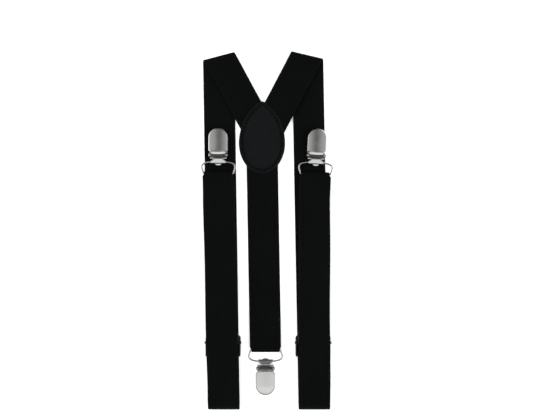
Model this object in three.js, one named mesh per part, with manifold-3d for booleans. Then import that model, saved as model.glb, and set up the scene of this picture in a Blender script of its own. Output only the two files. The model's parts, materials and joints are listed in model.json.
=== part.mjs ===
import * as THREE from 'three';
import { mergeVertices } from 'three/addons/utils/BufferGeometryUtils.js';
import Module from 'manifold-3d';

// Y-back clip suspenders in 25 mm elastic, folded and laid face up. Millimetres, +Z up, +Y along the straps
// towards the top folds. The origin is under the middle of the object, on the surface that it lies on.
//
// Each front strap leaves the patch, turns over a slanted top fold, runs down along the surface, turns round
// the bottom fold, runs back up on top and ends in a clip. Its own end comes back from the clip's bail, under
// the front run and round the bottom fold, to the bar of a length adjuster on the under run.

// Webbing
const STRAP_WIDTH = 25;
const STRAP_THICKNESS = 1.2;
const GAP = 0.3;                                   // clearance between pieces that touch
const LAYER = STRAP_THICKNESS + GAP;               // height from one layer of webbing to the next
const FLOOR_Z = STRAP_THICKNESS / 2;               // middle of a layer that lies on the surface
const BAIL_FOLD_WIDTH = 22.4;                      // webbing gathers a little where it turns round a bail

const GATHER_START = 3;                            // before the bar
const GATHER_LENGTH = 2.6;

// Folds of the front straps
const BOTTOM_EDGE_Y = -142;
const BOTTOM_FOLD_RADIUS = 4.65;                   // middle of the outer layer
const TOP_FOLD_RADIUS = 1.7;
const UPPER_RUN_Z = FLOOR_Z + 2 * BOTTOM_FOLD_RADIUS;
const RUN_DESCENT_START_Y = -50;                   // the front run drops from here to its bail
const UNDER_RUN_LIFT = 1.1;                        // the under run rises over the adjuster's face plate
const RETURN_END_Y = -129.3;                       // where the strap's tail begins

// The two sides differ a little. Sideways places are measured outwards from the centre line.
const SIDES = [
  {
    name: 'left', sign: -1, topEdge: [37.9, 138.9], slant: 13.8, backLean: 0.9,
    bar: [38.1, 45.1], clipLean: 0, patchZ: 2.1,
  },
  {
    name: 'right', sign: 1, topEdge: [32.8, 139.8], slant: 14.35, backLean: -1.08,
    bar: [39.0, 44.6], clipLean: 3, patchZ: 3.6,
  },
];
const CLIP_LEAN_LENGTH = 35;                       // a leaning clip bends the last stretch of its strap
const BRANCH_SETTLE = 38;                          // the branch reaches the patch's level this far down
const BRANCH_LENGTH = 63;                          // from the top fold to the strap's end in the patch

// Leather patch: a pointed arch over half an ellipse
const PATCH = { x: -3.4, y: 69.7, halfWidth: 18.4, archRadius: 40.8, tipRadius: 5.2, depth: 24.2 };
const PATCH_LEATHER = 1.1;
const PATCH_TOP_Z = 5.6;
const PATCH_BEVEL = 1.2;

// Back strap
const BACK = { x: -3.4, barX: -0.6, barY: -94.6, topY: 64, sewnLength: 22 };

// Clip. Its own frame has the bail's wire along X through the origin, +Y towards the clip's tip, +Z out.
const WIRE_RADIUS = 0.7;
const BAR_TO_WIRE = 9.5;
const BAR_FOLD_RADIUS = WIRE_RADIUS + GAP + STRAP_THICKNESS / 2;
const FRONT_BAR_Z = FLOOR_Z + LAYER + BAR_FOLD_RADIUS;
const BACK_BAR_Z = FLOOR_Z + BAR_FOLD_RADIUS;
const CLIP = {
  sheet: 0.8, floor: -2, halfWidth: 7.2, tipY: 26.2, shoulderY: 7.8, neckHalfWidth: 5.8, hookRadius: 1.4,
  earInner: 6, earOuter: 6.8, earRadius: 1.9, pinY: 5.4, pinZ: 1.7, pinRadius: 0.75,
  lipHalfWidth: 2.5, lipEndY: -2.6,
};
const COVER = {
  sheet: 0.7, halfWidth: 7.9, lowY: 7.8, tipY: 27.1, cornerRadius: 2, skirtZ: 0.6, crownZ: 4.2, bevel: 1.5,
  knuckleHalfWidth: 5.65,
};
const PAD = { halfWidth: 5.6, lowY: 13, tipY: 25.2, ribPitch: 2, ribDepth: 0.5, meetZ: 0.55 };
const SPRING = { halfWidth: 4, thickness: 0.4, fixedY: 12, freeY: 4.2, z: -0.68, bow: 0.1 };

// Length adjuster. Its own frame has the origin on the surface under the middle of its face plate.
const ADJUSTER = {
  y: -92, halfWidth: 14, halfLength: 8.5, plate: 0.8, cornerRadius: 2,
  cheekInner: 13, cheekOuter: 13.8, cheekLow: -8, cheekHigh: 5, cheekZ: 6.2,
  barLow: -7.4, barHigh: -4.4, barZ: 4.5, barThickness: 0.8,
  pivotY: 3, pivotZ: 4.3, pinRadius: 0.7,
};
const LEVER = { halfWidth: 12.3, barrelRadius: 1.6, tipY: 11.6, tipZ: 4, toothZ: 2.65 };
const TAIL_FOLD_RADIUS = ADJUSTER.barThickness / 2 + GAP + STRAP_THICKNESS / 2;
const TAIL_SEWN_LENGTH = 13;

const LOOKS = {
  webbing: { color: 0x0f1110, roughness: 0.85, metalness: 0 },
  leather: { color: 0x18191b, roughness: 0.5, metalness: 0 },
  nickel: { color: 0xc9c8c4, roughness: 0.22, metalness: 1 },
  enamel: { color: 0x17181a, roughness: 0.35, metalness: 0 },
  spring: { color: 0x8d9094, roughness: 0.35, metalness: 1 },
  plastic: { color: 0xdad8d0, roughness: 0.45, metalness: 0 },
};

const wasm = await Module();
wasm.setup();

// ---------- solids ----------

function toSolid(geometry) {
  const plain = new THREE.BufferGeometry();
  plain.setAttribute('position', geometry.getAttribute('position'));
  plain.setIndex(geometry.index);
  const merged = mergeVertices(plain, 1e-4);
  return new wasm.Manifold(new wasm.Mesh({
    numProp: 3,
    vertProperties: merged.getAttribute('position').array,
    triVerts: new Uint32Array(merged.index.array),
  }));
}

function toGeometry(solid) {
  const mesh = solid.getMesh();
  const geometry = new THREE.BufferGeometry();
  geometry.setAttribute('position', new THREE.BufferAttribute(mesh.vertProperties, 3));
  geometry.setIndex(new THREE.BufferAttribute(mesh.triVerts, 1));
  geometry.computeVertexNormals();
  return geometry;
}

function piece(name, look, solid) {
  const mesh = new THREE.Mesh(toGeometry(solid), new THREE.MeshStandardMaterial(LOOKS[look]));
  mesh.name = name;
  return mesh;
}

// A plan outline in X and Y, raised from zLow to zHigh.
function prism(outline, zLow, zHigh, curveSegments = 8) {
  const geometry = new THREE.ExtrudeGeometry(outline, { depth: zHigh - zLow, bevelEnabled: false, curveSegments });
  return toSolid(geometry.translate(0, 0, zLow));
}

// A plan outline raised from zLow to zHigh, and on by the bevel with its top edge rounded inwards.
function domedPrism(outline, zLow, zHigh, bevel, curveSegments = 8) {
  const geometry = new THREE.ExtrudeGeometry(outline, {
    depth: zHigh - zLow, curveSegments,
    bevelThickness: bevel, bevelSize: bevel, bevelOffset: -bevel, bevelSegments: 3,
  });
  const solid = toSolid(geometry.translate(0, 0, zLow));
  const limit = 100;
  return solid.intersect(boxSolid([-limit, limit], [-limit, limit], [zLow, limit]));
}

// A side outline in Y and Z, spread across X from low to high.
const SIDE_ON = new THREE.Matrix4().makeBasis(
  new THREE.Vector3(0, 1, 0), new THREE.Vector3(0, 0, 1), new THREE.Vector3(1, 0, 0),
);
function across(outline, low, high, curveSegments = 8) {
  const geometry = new THREE.ExtrudeGeometry(outline, { depth: high - low, bevelEnabled: false, curveSegments });
  return toSolid(geometry.translate(0, 0, low).applyMatrix4(SIDE_ON));
}

function boxSolid([x0, x1], [y0, y1], [z0, z1]) {
  const geometry = new THREE.BoxGeometry(x1 - x0, y1 - y0, z1 - z0);
  return toSolid(geometry.translate((x0 + x1) / 2, (y0 + y1) / 2, (z0 + z1) / 2));
}

// A round rod along X, with its middle at (y, z).
function rod(radius, low, high, y, z, segments = 12) {
  const geometry = new THREE.CylinderGeometry(radius, radius, high - low, segments);
  return toSolid(geometry.rotateZ(Math.PI / 2).translate((low + high) / 2, y, z));
}

// A rod along X with a domed head on each end.
function headedPin(radius, headRadius, shank, end, y, z) {
  const head = (end - shank) * 0.4;
  const profile = [
    [0, -end], [headRadius - head, -end], [headRadius, -end + head], [headRadius, -shank], [radius, -shank],
    [radius, shank], [headRadius, shank], [headRadius, end - head], [headRadius - head, end], [0, end],
  ];
  const geometry = new THREE.LatheGeometry(profile.map(([r, x]) => new THREE.Vector2(r, x)), 12);
  return toSolid(geometry.rotateZ(-Math.PI / 2).translate(0, y, z));
}

// ---------- outlines ----------

// The points of a path, with the direction across the path at each.
function offsets(path, divisions) {
  const points = path.getPoints(divisions).filter((p, i, all) => i === 0 || p.distanceTo(all[i - 1]) > 1e-3);
  return points.map((point, i) => {
    const before = points[Math.max(i - 1, 0)];
    const after = points[Math.min(i + 1, points.length - 1)];
    const along = after.clone().sub(before).normalize();
    return { point, along, left: new THREE.Vector2(-along.y, along.x) };
  });
}

// A sheet of even thickness that follows a path.
function sheetOutline(path, thickness, divisions = 6) {
  const stations = offsets(path, divisions);
  const half = thickness / 2;
  const left = stations.map(({ point, left: side }) => point.clone().addScaledVector(side, half));
  const right = stations.map(({ point, left: side }) => point.clone().addScaledVector(side, -half));
  return new THREE.Shape([...right, ...left.reverse()]);
}

// A round-ended tongue: corners at yLow, rounded by cornerRadius, and half a circle at the tip.
function tongue(halfWidth, yLow, yTip, cornerRadius) {
  const shape = new THREE.Shape();
  shape.absarc(0, yTip - halfWidth, halfWidth, 0, Math.PI, false);
  shape.absarc(-halfWidth + cornerRadius, yLow + cornerRadius, cornerRadius, Math.PI, 1.5 * Math.PI, false);
  shape.absarc(halfWidth - cornerRadius, yLow + cornerRadius, cornerRadius, 1.5 * Math.PI, 2 * Math.PI, false);
  return shape;
}

function roundedRectangle(halfWidth, halfLength, radius) {
  const shape = new THREE.Shape();
  shape.absarc(halfWidth - radius, halfLength - radius, radius, 0, Math.PI / 2, false);
  shape.absarc(-halfWidth + radius, halfLength - radius, radius, Math.PI / 2, Math.PI, false);
  shape.absarc(-halfWidth + radius, -halfLength + radius, radius, Math.PI, 1.5 * Math.PI, false);
  shape.absarc(halfWidth - radius, -halfLength + radius, radius, 1.5 * Math.PI, 2 * Math.PI, false);
  shape.closePath();
  return shape;
}

function patchOutline() {
  const { x, y, halfWidth, archRadius, tipRadius, depth } = PATCH;
  const archX = archRadius - halfWidth;
  const tipY = Math.sqrt((archRadius - tipRadius) ** 2 - archX ** 2);
  const archAngle = Math.atan2(tipY, archX);
  const shape = new THREE.Shape();
  shape.absellipse(x, y, halfWidth, depth, Math.PI, 2 * Math.PI, false);
  shape.absarc(x - archX, y, archRadius, 0, archAngle, false);
  shape.absarc(x, y + tipY, tipRadius, archAngle, Math.PI - archAngle, false);
  shape.absarc(x + archX, y, archRadius, Math.PI - archAngle, Math.PI, false);
  return shape;
}

// ---------- webbing ----------

// A ribbon through stations, each with its middle, half of the line across it and a thickness direction.
function ribbon(stations, thickness = STRAP_THICKNESS) {
  const rows = stations.length - 1;
  const geometry = new THREE.BoxGeometry(2, rows, 2, 1, rows, 1);
  const position = geometry.getAttribute('position');
  for (let i = 0; i < position.count; i += 1) {
    const { middle, half, normal } = stations[Math.round(position.getY(i) + rows / 2)];
    const place = middle.clone();
    place.addScaledVector(half, position.getX(i));
    place.addScaledVector(normal, position.getZ(i) * thickness / 2);
    position.setXYZ(i, place.x, place.y, place.z);
  }
  return toSolid(geometry);
}

function station(middle, half, along) {
  return { middle, half, normal: half.clone().cross(along).normalize() };
}

// The same ribbon swollen all round, and past its first end, by the clearance.
function swollen(stations) {
  const grown = stations.map(({ middle, half, normal }) => ({
    middle: middle.clone(), half: half.clone().setLength(half.length() + GAP), normal,
  }));
  const start = stations[0].middle.clone().sub(stations[1].middle).setLength(GAP);
  grown[0].middle.add(start);
  return ribbon(grown, STRAP_THICKNESS + 2 * GAP);
}

const ease = (t) => (1 - Math.cos(Math.PI * THREE.MathUtils.clamp(t, 0, 1))) / 2;

// Webbing gathers where it turns round a bail. Reach is how far a place is past the bar, towards the clip.
function widthAt(reach) {
  return THREE.MathUtils.lerp(STRAP_WIDTH, BAIL_FOLD_WIDTH, ease((reach + GATHER_START) / GATHER_LENGTH));
}

// The slanted top fold. Distance is measured across the fold line in the flat strap: below 0 on the under run,
// then round the fold, then down the branch to the patch.
function topFold(side) {
  const slant = THREE.MathUtils.degToRad(side.slant);
  const slope = slant + THREE.MathUtils.degToRad(side.backLean);
  const turn = Math.PI * TOP_FOLD_RADIUS;
  const line = new THREE.Vector2(-Math.cos(slope), Math.sin(slope));
  const over = new THREE.Vector2(Math.sin(slope), Math.cos(slope));
  const start = new THREE.Vector2(...side.topEdge)
    .addScaledVector(over, -TOP_FOLD_RADIUS - STRAP_THICKNESS / 2)
    .addScaledVector(line, -Math.tan(slant) * turn / 2);
  const half = new THREE.Vector3(side.sign * line.x, line.y, 0)
    .multiplyScalar(-side.sign * STRAP_WIDTH / 2 / Math.cos(slant));
  const topZ = FLOOR_Z + 2 * TOP_FOLD_RADIUS;

  const at = (distance) => {
    const angle = THREE.MathUtils.clamp(distance / TOP_FOLD_RADIUS, 0, Math.PI);
    const down = Math.max(distance - turn, 0);
    const reach = Math.min(distance, 0) + TOP_FOLD_RADIUS * Math.sin(angle) - down;
    const plan = start.clone()
      .addScaledVector(line, Math.tan(slant) * distance)
      .addScaledVector(over, reach);
    const fold = FLOOR_Z + TOP_FOLD_RADIUS * (1 - Math.cos(angle));
    const z = fold + (side.patchZ - topZ) * ease(down / BRANCH_SETTLE);
    return new THREE.Vector3(side.sign * plan.x, plan.y, z);
  };
  return { start, turn, half, at };
}

// Sideways place of the under run and of the front run at a height y along the straps.
function runCentres(side, foldStart) {
  const lean = Math.tan(THREE.MathUtils.degToRad(side.backLean));
  const [barX, barY] = side.bar;
  const bottom = foldStart.x - lean * (foldStart.y - BOTTOM_EDGE_Y);
  const clipLean = Math.tan(THREE.MathUtils.degToRad(side.clipLean));
  const shift = clipLean * CLIP_LEAN_LENGTH / 2;
  const frontLean = (barX - shift - bottom) / (barY - BOTTOM_EDGE_Y);
  const bend = (y) => Math.max(y - barY + CLIP_LEAN_LENGTH, 0);
  return {
    under: (y) => bottom + lean * (y - BOTTOM_EDGE_Y),
    front: (y) => bottom + frontLean * (y - BOTTOM_EDGE_Y) + clipLean * bend(y) ** 2 / (2 * CLIP_LEAN_LENGTH),
    frontHeading: (y) => clipLean * Math.min(bend(y), CLIP_LEAN_LENGTH) / CLIP_LEAN_LENGTH,
  };
}

// The long loop in Y and Z, from the under run round the bottom fold, up to the bail and back.
function loopPath(barY) {
  const foldY = BOTTOM_EDGE_Y + BOTTOM_FOLD_RADIUS + STRAP_THICKNESS / 2;
  const foldZ = FLOOR_Z + BOTTOM_FOLD_RADIUS;
  const lifted = FLOOR_Z + UNDER_RUN_LIFT;
  const returnZ = UPPER_RUN_Z - LAYER;
  const outerZ = FRONT_BAR_Z + BAR_FOLD_RADIUS;
  const innerZ = FRONT_BAR_Z - BAR_FOLD_RADIUS;
  const levelY = barY - GATHER_START - 1;
  const bendY = (RUN_DESCENT_START_Y + levelY) / 2;
  const path = new THREE.Path();
  path.moveTo(barY + 50, FLOOR_Z);
  path.lineTo(-45, FLOOR_Z);
  path.bezierCurveTo(-50, FLOOR_Z, -52, lifted, -57, lifted);
  path.lineTo(-103, lifted);
  path.bezierCurveTo(-109, lifted, -112, FLOOR_Z, -118, FLOOR_Z);
  path.lineTo(foldY, FLOOR_Z);
  path.absarc(foldY, foldZ, BOTTOM_FOLD_RADIUS, 1.5 * Math.PI, 0.5 * Math.PI, true);
  path.lineTo(RUN_DESCENT_START_Y, UPPER_RUN_Z);
  path.bezierCurveTo(bendY, UPPER_RUN_Z, bendY, outerZ, levelY, outerZ);
  path.lineTo(barY - GATHER_START, outerZ);
  path.lineTo(barY - GATHER_START + GATHER_LENGTH, outerZ);
  path.absarc(barY, FRONT_BAR_Z, BAR_FOLD_RADIUS, 0.5 * Math.PI, -0.5 * Math.PI, true);
  path.lineTo(barY - GATHER_START + GATHER_LENGTH, innerZ);
  path.lineTo(barY - GATHER_START, innerZ);
  path.lineTo(levelY, innerZ);
  path.bezierCurveTo(bendY, innerZ, bendY, returnZ, RUN_DESCENT_START_Y, returnZ);
  path.lineTo(foldY, returnZ);
  path.absarc(foldY, foldZ, BOTTOM_FOLD_RADIUS - LAYER, 0.5 * Math.PI, 1.5 * Math.PI, false);
  path.lineTo(RETURN_END_Y, FLOOR_Z + LAYER);
  return path;
}

function frontStrapStations(side) {
  const fold = topFold(side);
  const centres = runCentres(side, fold.start);
  const distances = [fold.turn + BRANCH_LENGTH];
  for (let down = BRANCH_SETTLE; down >= 0; down -= BRANCH_SETTLE / 6) distances.push(fold.turn + down);
  for (let step = 7; step >= 0; step -= 1) distances.push(fold.turn * step / 8);
  distances.push(-6);
  const branch = distances.map((distance) => {
    const ahead = fold.at(distance - 0.05).sub(fold.at(distance + 0.05));
    return station(fold.at(distance), fold.half, ahead);
  });

  const [, barY] = side.bar;
  let onFront = false;
  const loop = offsets(loopPath(barY), 7).map(({ point, along }) => {
    if (point.x <= BOTTOM_EDGE_Y + STRAP_THICKNESS / 2 + 0.1) onFront = true;
    const y = point.x;
    const returned = onFront && point.y < FRONT_BAR_Z - BAR_FOLD_RADIUS + 0.01 && y < BOTTOM_EDGE_Y + 20;
    const useFront = onFront && !returned;
    const heading = useFront ? centres.frontHeading(y) : 0;
    const outward = (useFront ? centres.front : centres.under)(y);
    const half = new THREE.Vector3(1, -side.sign * heading, 0);
    half.setLength((onFront ? widthAt(y - barY) : STRAP_WIDTH) / 2);
    return station(
      new THREE.Vector3(side.sign * outward, y, point.y),
      half,
      new THREE.Vector3(side.sign * heading * along.x, along.x, along.y),
    );
  });
  return [...branch, ...loop];
}

// The end of the strap, from the bottom fold to the adjuster's bar, and back over itself where it is sewn.
function tailStations(side) {
  const centres = runCentres(side, topFold(side).start);
  const lowZ = FLOOR_Z + LAYER;
  const liftedZ = lowZ + UNDER_RUN_LIFT;
  const wrapY = ADJUSTER.y + ADJUSTER.barHigh - ADJUSTER.barThickness / 2;
  const path = new THREE.Path();
  path.moveTo(RETURN_END_Y + GAP, lowZ);
  path.lineTo(-118, lowZ);
  path.bezierCurveTo(-112, lowZ, -109, liftedZ, -103, liftedZ);
  path.lineTo(wrapY, liftedZ);
  path.absarc(wrapY, liftedZ + TAIL_FOLD_RADIUS, TAIL_FOLD_RADIUS, -0.5 * Math.PI, 0.5 * Math.PI, false);
  path.lineTo(wrapY - TAIL_SEWN_LENGTH, liftedZ + 2 * TAIL_FOLD_RADIUS);
  return offsets(path, 6).map(({ point, along }) => station(
    new THREE.Vector3(side.sign * centres.under(point.x), point.x, point.y),
    new THREE.Vector3(STRAP_WIDTH / 2 - GAP, 0, 0),
    new THREE.Vector3(0, along.x, along.y),
  ));
}

// The back strap lies on the surface from the patch down to its clip, and turns under round the bail's bar.
function backStrapStations() {
  const { x, barX, barY, topY, sewnLength } = BACK;
  const patchEdge = PATCH.y - PATCH.depth;
  const path = new THREE.Path();
  path.moveTo(topY, SIDES[0].patchZ);
  path.lineTo(patchEdge - 2, SIDES[0].patchZ);
  path.bezierCurveTo(patchEdge - 8, SIDES[0].patchZ, patchEdge - 9, FLOOR_Z, patchEdge - 15, FLOOR_Z);
  path.lineTo(barY + sewnLength + 14, FLOOR_Z);
  path.bezierCurveTo(
    barY + sewnLength + 6, FLOOR_Z, barY + sewnLength + 8, FLOOR_Z + LAYER, barY + sewnLength, FLOOR_Z + LAYER,
  );
  path.lineTo(barY + 14, FLOOR_Z + LAYER);
  path.bezierCurveTo(
    barY + 7, FLOOR_Z + LAYER, barY + 7, BACK_BAR_Z + BAR_FOLD_RADIUS, barY, BACK_BAR_Z + BAR_FOLD_RADIUS,
  );
  path.absarc(barY, BACK_BAR_Z, BAR_FOLD_RADIUS, 0.5 * Math.PI, 1.5 * Math.PI, false);
  path.lineTo(barY + GATHER_START - GATHER_LENGTH, FLOOR_Z);
  path.lineTo(barY + GATHER_START, FLOOR_Z);
  path.lineTo(barY + sewnLength, FLOOR_Z);
  return offsets(path, 7).map(({ point, along }) => {
    const share = (point.x - barY) / (topY - barY);
    return station(
      new THREE.Vector3(THREE.MathUtils.lerp(barX, x, share), point.x, point.y),
      new THREE.Vector3(widthAt(barY - point.x) / 2, 0, 0),
      new THREE.Vector3(0, along.x, along.y),
    );
  });
}

// ---------- patch ----------

function patchFront(straps) {
  const bottom = PATCH_LEATHER + GAP;
  return straps.reduce(
    (leather, strap) => leather.subtract(swollen(strap)),
    domedPrism(patchOutline(), bottom, PATCH_TOP_Z - PATCH_BEVEL, PATCH_BEVEL, 10),
  );
}

// ---------- clip ----------

// One half of the bail's loop, from the middle of its bar round to the middle of its wire.
function bailHalf(sign) {
  const at = (x, y) => new THREE.Vector3(sign * x, y, 0);
  const overlap = 0.4;
  const path = new THREE.CurvePath();
  path.add(new THREE.LineCurve3(at(-overlap, 0), at(10.5, 0)));
  path.add(new THREE.QuadraticBezierCurve3(at(10.5, 0), at(11.8, 0), at(12.1, 1.4)));
  path.add(new THREE.CubicBezierCurve3(at(12.1, 1.4), at(12.5, 3), at(15.6, 7.6), at(9.4, 8.9)));
  path.add(new THREE.QuadraticBezierCurve3(at(9.4, 8.9), at(6.5, BAR_TO_WIRE), at(5.2, BAR_TO_WIRE)));
  path.add(new THREE.LineCurve3(at(5.2, BAR_TO_WIRE), at(-overlap, BAR_TO_WIRE)));
  const section = new THREE.Shape().absarc(0, 0, WIRE_RADIUS, 0, 2 * Math.PI, false);
  return toSolid(new THREE.ExtrudeGeometry(section, { steps: 30, extrudePath: path, curveSegments: 4 }));
}

function basePlate() {
  const { sheet, floor, halfWidth, tipY, shoulderY, neckHalfWidth, hookRadius } = CLIP;
  const { earInner, earOuter, earRadius, pinY, pinZ, pinRadius } = CLIP;
  const plateZ = floor + sheet / 2;
  const hookStart = Math.PI / 3;
  const hookEnd = 290 * Math.PI / 180;
  const side = new THREE.Path();
  side.moveTo(tipY + 1, plateZ);
  side.lineTo(3.6, plateZ);
  side.bezierCurveTo(2.2, plateZ, 1.92, 0.51, hookRadius * Math.cos(hookStart), hookRadius * Math.sin(hookStart));
  side.absarc(0, 0, hookRadius, hookStart, hookEnd, false);
  const bent = across(sheetOutline(side, sheet, 6), -halfWidth, halfWidth);

  const plan = new THREE.Shape();
  plan.moveTo(halfWidth, shoulderY);
  plan.lineTo(halfWidth, tipY - halfWidth);
  plan.absarc(0, tipY - halfWidth, halfWidth, 0, Math.PI, false);
  plan.lineTo(-halfWidth, shoulderY);
  plan.lineTo(-earOuter, shoulderY - 0.4);
  plan.lineTo(-earOuter, pinY - earRadius);
  plan.lineTo(-neckHalfWidth, 1.6);
  plan.lineTo(-neckHalfWidth, -3);
  plan.lineTo(neckHalfWidth, -3);
  plan.lineTo(neckHalfWidth, 1.6);
  plan.lineTo(earOuter, pinY - earRadius);
  plan.lineTo(earOuter, shoulderY - 0.4);
  const cut = bent.intersect(prism(plan, floor - 1, 4, 10));

  const ear = new THREE.Shape();
  ear.moveTo(pinY - earRadius, floor);
  ear.lineTo(pinY + earRadius, floor);
  ear.absarc(pinY, pinZ, earRadius, 0, Math.PI, false);
  const ears = across(ear, -earOuter, -earInner).add(across(ear, earInner, earOuter));

  const lip = new THREE.Shape();
  lip.moveTo(-hookRadius, 0.9);
  lip.lineTo(CLIP.lipEndY, 0.7);
  lip.lineTo(CLIP.lipEndY, 0.1);
  lip.lineTo(-hookRadius, 0);
  return cut.add(ears)
    .add(across(lip, -CLIP.lipHalfWidth, CLIP.lipHalfWidth))
    .subtract(rod(pinRadius + GAP, -8, 8, pinY, pinZ));
}

function cover() {
  const { sheet, halfWidth, lowY, tipY, cornerRadius, skirtZ, crownZ, bevel, knuckleHalfWidth } = COVER;
  const shell = domedPrism(tongue(halfWidth, lowY, tipY, cornerRadius), skirtZ, crownZ - bevel, bevel)
    .subtract(domedPrism(
      tongue(halfWidth - sheet, lowY - 6, tipY - sheet, cornerRadius), skirtZ - 1, crownZ - sheet - bevel, bevel,
    ));
  const { pinY, pinZ, pinRadius } = CLIP;
  const radius = pinRadius + GAP + sheet / 2;
  const roll = new THREE.Path();
  roll.moveTo(lowY + 3, crownZ - sheet / 2);
  roll.bezierCurveTo(lowY + 0.6, crownZ - sheet / 2, pinY + 1.8, pinZ + radius, pinY, pinZ + radius);
  roll.absarc(pinY, pinZ, radius, 0.5 * Math.PI, 1.85 * Math.PI, false);
  return shell.add(across(sheetOutline(roll, sheet, 6), -knuckleHalfWidth, knuckleHalfWidth));
}

// A grip pad whose ribs run across the clip. Side 1 has its ribs on top, side -1 has them underneath.
function gripPad(backZ, meetZ, side) {
  const { halfWidth, lowY, tipY, ribPitch, ribDepth } = PAD;
  const outline = new THREE.Shape();
  outline.moveTo(lowY, backZ);
  for (let y = lowY; y < tipY; y += ribPitch) {
    outline.lineTo(y, meetZ - side * ribDepth);
    outline.lineTo(y + ribPitch * 0.35, meetZ);
    outline.lineTo(y + ribPitch * 0.65, meetZ);
  }
  outline.lineTo(tipY + ribPitch, meetZ - side * ribDepth);
  outline.lineTo(tipY + ribPitch, backZ);
  const ribbed = new THREE.Shape(side === 1 ? outline.getPoints().reverse() : outline.getPoints());
  return across(ribbed, -halfWidth, halfWidth).intersect(prism(tongue(halfWidth, lowY, tipY, 0.5), -4, 5));
}

function springLeaf() {
  const { halfWidth, thickness, fixedY, freeY, z, bow } = SPRING;
  const path = new THREE.Path();
  path.moveTo(fixedY, z);
  path.lineTo(fixedY - 3, z);
  path.bezierCurveTo(fixedY - 5, z, CLIP.pinY + 1, z + bow, CLIP.pinY, z + bow);
  path.lineTo(freeY, z + bow);
  return across(sheetOutline(path, thickness, 5), -halfWidth, halfWidth);
}

// A whole clip on its bail. The group's origin is on the bail's bar.
function clip(name) {
  const group = new THREE.Group();
  group.add(piece(`${name}_bail`, 'nickel', bailHalf(1).add(bailHalf(-1))));
  const body = new THREE.Group();
  body.position.y = BAR_TO_WIRE;
  const plateTop = CLIP.floor + CLIP.sheet;
  const ceiling = COVER.crownZ - COVER.sheet;
  body.add(
    piece(`${name}_base_plate`, 'nickel', basePlate()),
    piece(`${name}_base_pad`, 'plastic', gripPad(plateTop + GAP, PAD.meetZ - GAP / 2, 1)),
    piece(`${name}_spring`, 'spring', springLeaf()),
    piece(`${name}_hinge_pin`, 'nickel', headedPin(
      CLIP.pinRadius, 1.2, CLIP.earOuter + GAP, 7.75, CLIP.pinY, CLIP.pinZ,
    )),
    piece(`${name}_cover`, 'nickel', cover()),
    piece(`${name}_cover_pad`, 'plastic', gripPad(ceiling - GAP, PAD.meetZ + GAP / 2, -1)),
  );
  group.add(body);
  return group;
}

// ---------- adjuster ----------

function adjusterFrame() {
  const { halfWidth, halfLength, plate, cornerRadius, cheekInner, cheekOuter, cheekLow, cheekHigh } = ADJUSTER;
  const { cheekZ, barLow, barHigh, barZ, barThickness, pivotY, pivotZ, pinRadius } = ADJUSTER;
  const cheek = new THREE.Shape();
  cheek.moveTo(cheekLow, 0);
  cheek.lineTo(cheekHigh, 0);
  cheek.lineTo(cheekHigh, cheekZ - 1.5);
  cheek.quadraticCurveTo(cheekHigh, cheekZ, cheekHigh - 1.5, cheekZ);
  cheek.lineTo(cheekLow + 1.5, cheekZ);
  cheek.quadraticCurveTo(cheekLow, cheekZ, cheekLow, cheekZ - 1.5);
  return prism(roundedRectangle(halfWidth, halfLength, cornerRadius), 0, plate, 4)
    .add(across(cheek, -cheekOuter, -cheekInner, 4))
    .add(across(cheek, cheekInner, cheekOuter, 4))
    .add(boxSolid(
      [-cheekInner - 0.4, cheekInner + 0.4], [barLow, barHigh], [barZ - barThickness / 2, barZ + barThickness / 2],
    ))
    .subtract(rod(pinRadius + GAP, -20, 20, pivotY, pivotZ));
}

function gripLever() {
  const { halfWidth, barrelRadius, tipY, tipZ, toothZ } = LEVER;
  const { pivotY, pivotZ, pinRadius } = ADJUSTER;
  const arm = new THREE.Shape();
  arm.moveTo(pivotY, pivotZ + barrelRadius - 0.1);
  arm.lineTo(pivotY, pivotZ - 1);
  for (const y of [pivotY + 1.6, pivotY + 2.8, pivotY + 4]) {
    arm.lineTo(y - 0.5, tipZ - 0.8);
    arm.lineTo(y, toothZ);
    arm.lineTo(y + 0.3, tipZ - 0.8);
  }
  arm.lineTo(tipY - 0.6, tipZ - 0.5);
  arm.lineTo(tipY, tipZ);
  arm.lineTo(tipY - 0.6, tipZ + 0.6);
  return rod(barrelRadius, -halfWidth, halfWidth, pivotY, pivotZ, 16)
    .add(across(arm, -halfWidth, halfWidth))
    .subtract(rod(pinRadius + GAP, -20, 20, pivotY, pivotZ));
}

function adjuster(name) {
  const group = new THREE.Group();
  const { cheekOuter, pivotY, pivotZ, pinRadius } = ADJUSTER;
  group.add(
    piece(`${name}_adjuster_frame`, 'enamel', adjusterFrame()),
    piece(`${name}_adjuster_lever`, 'enamel', gripLever()),
    piece(`${name}_adjuster_pin`, 'enamel', headedPin(
      pinRadius, 1.2, cheekOuter + GAP, cheekOuter + 0.8, pivotY, pivotZ,
    )),
  );
  return group;
}

// ---------- assembly ----------

const model = new THREE.Group();
const frontStraps = SIDES.map(frontStrapStations);
const backStrap = backStrapStations();

SIDES.forEach((side, i) => {
  model.add(piece(`${side.name}_front_strap`, 'webbing', ribbon(frontStraps[i])));
  model.add(piece(`${side.name}_strap_tail`, 'webbing', ribbon(tailStations(side))));

  const frontClip = clip(`${side.name}_clip`);
  frontClip.position.set(side.sign * side.bar[0], side.bar[1], FRONT_BAR_Z);
  frontClip.rotation.z = THREE.MathUtils.degToRad(-side.sign * side.clipLean);
  model.add(frontClip);

  const slider = adjuster(side.name);
  slider.position.set(side.sign * runCentres(side, topFold(side).start).under(ADJUSTER.y), ADJUSTER.y, 0);
  model.add(slider);
});

model.add(piece('back_strap', 'webbing', ribbon(backStrap)));
const backClip = clip('back_clip');
backClip.position.set(BACK.barX, BACK.barY, BACK_BAR_Z);
backClip.rotation.z = Math.PI;
model.add(backClip);

model.add(piece('patch_back', 'leather', prism(patchOutline(), 0, PATCH_LEATHER, 10)));
model.add(piece('patch_front', 'leather', patchFront([...frontStraps, backStrap])));

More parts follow.
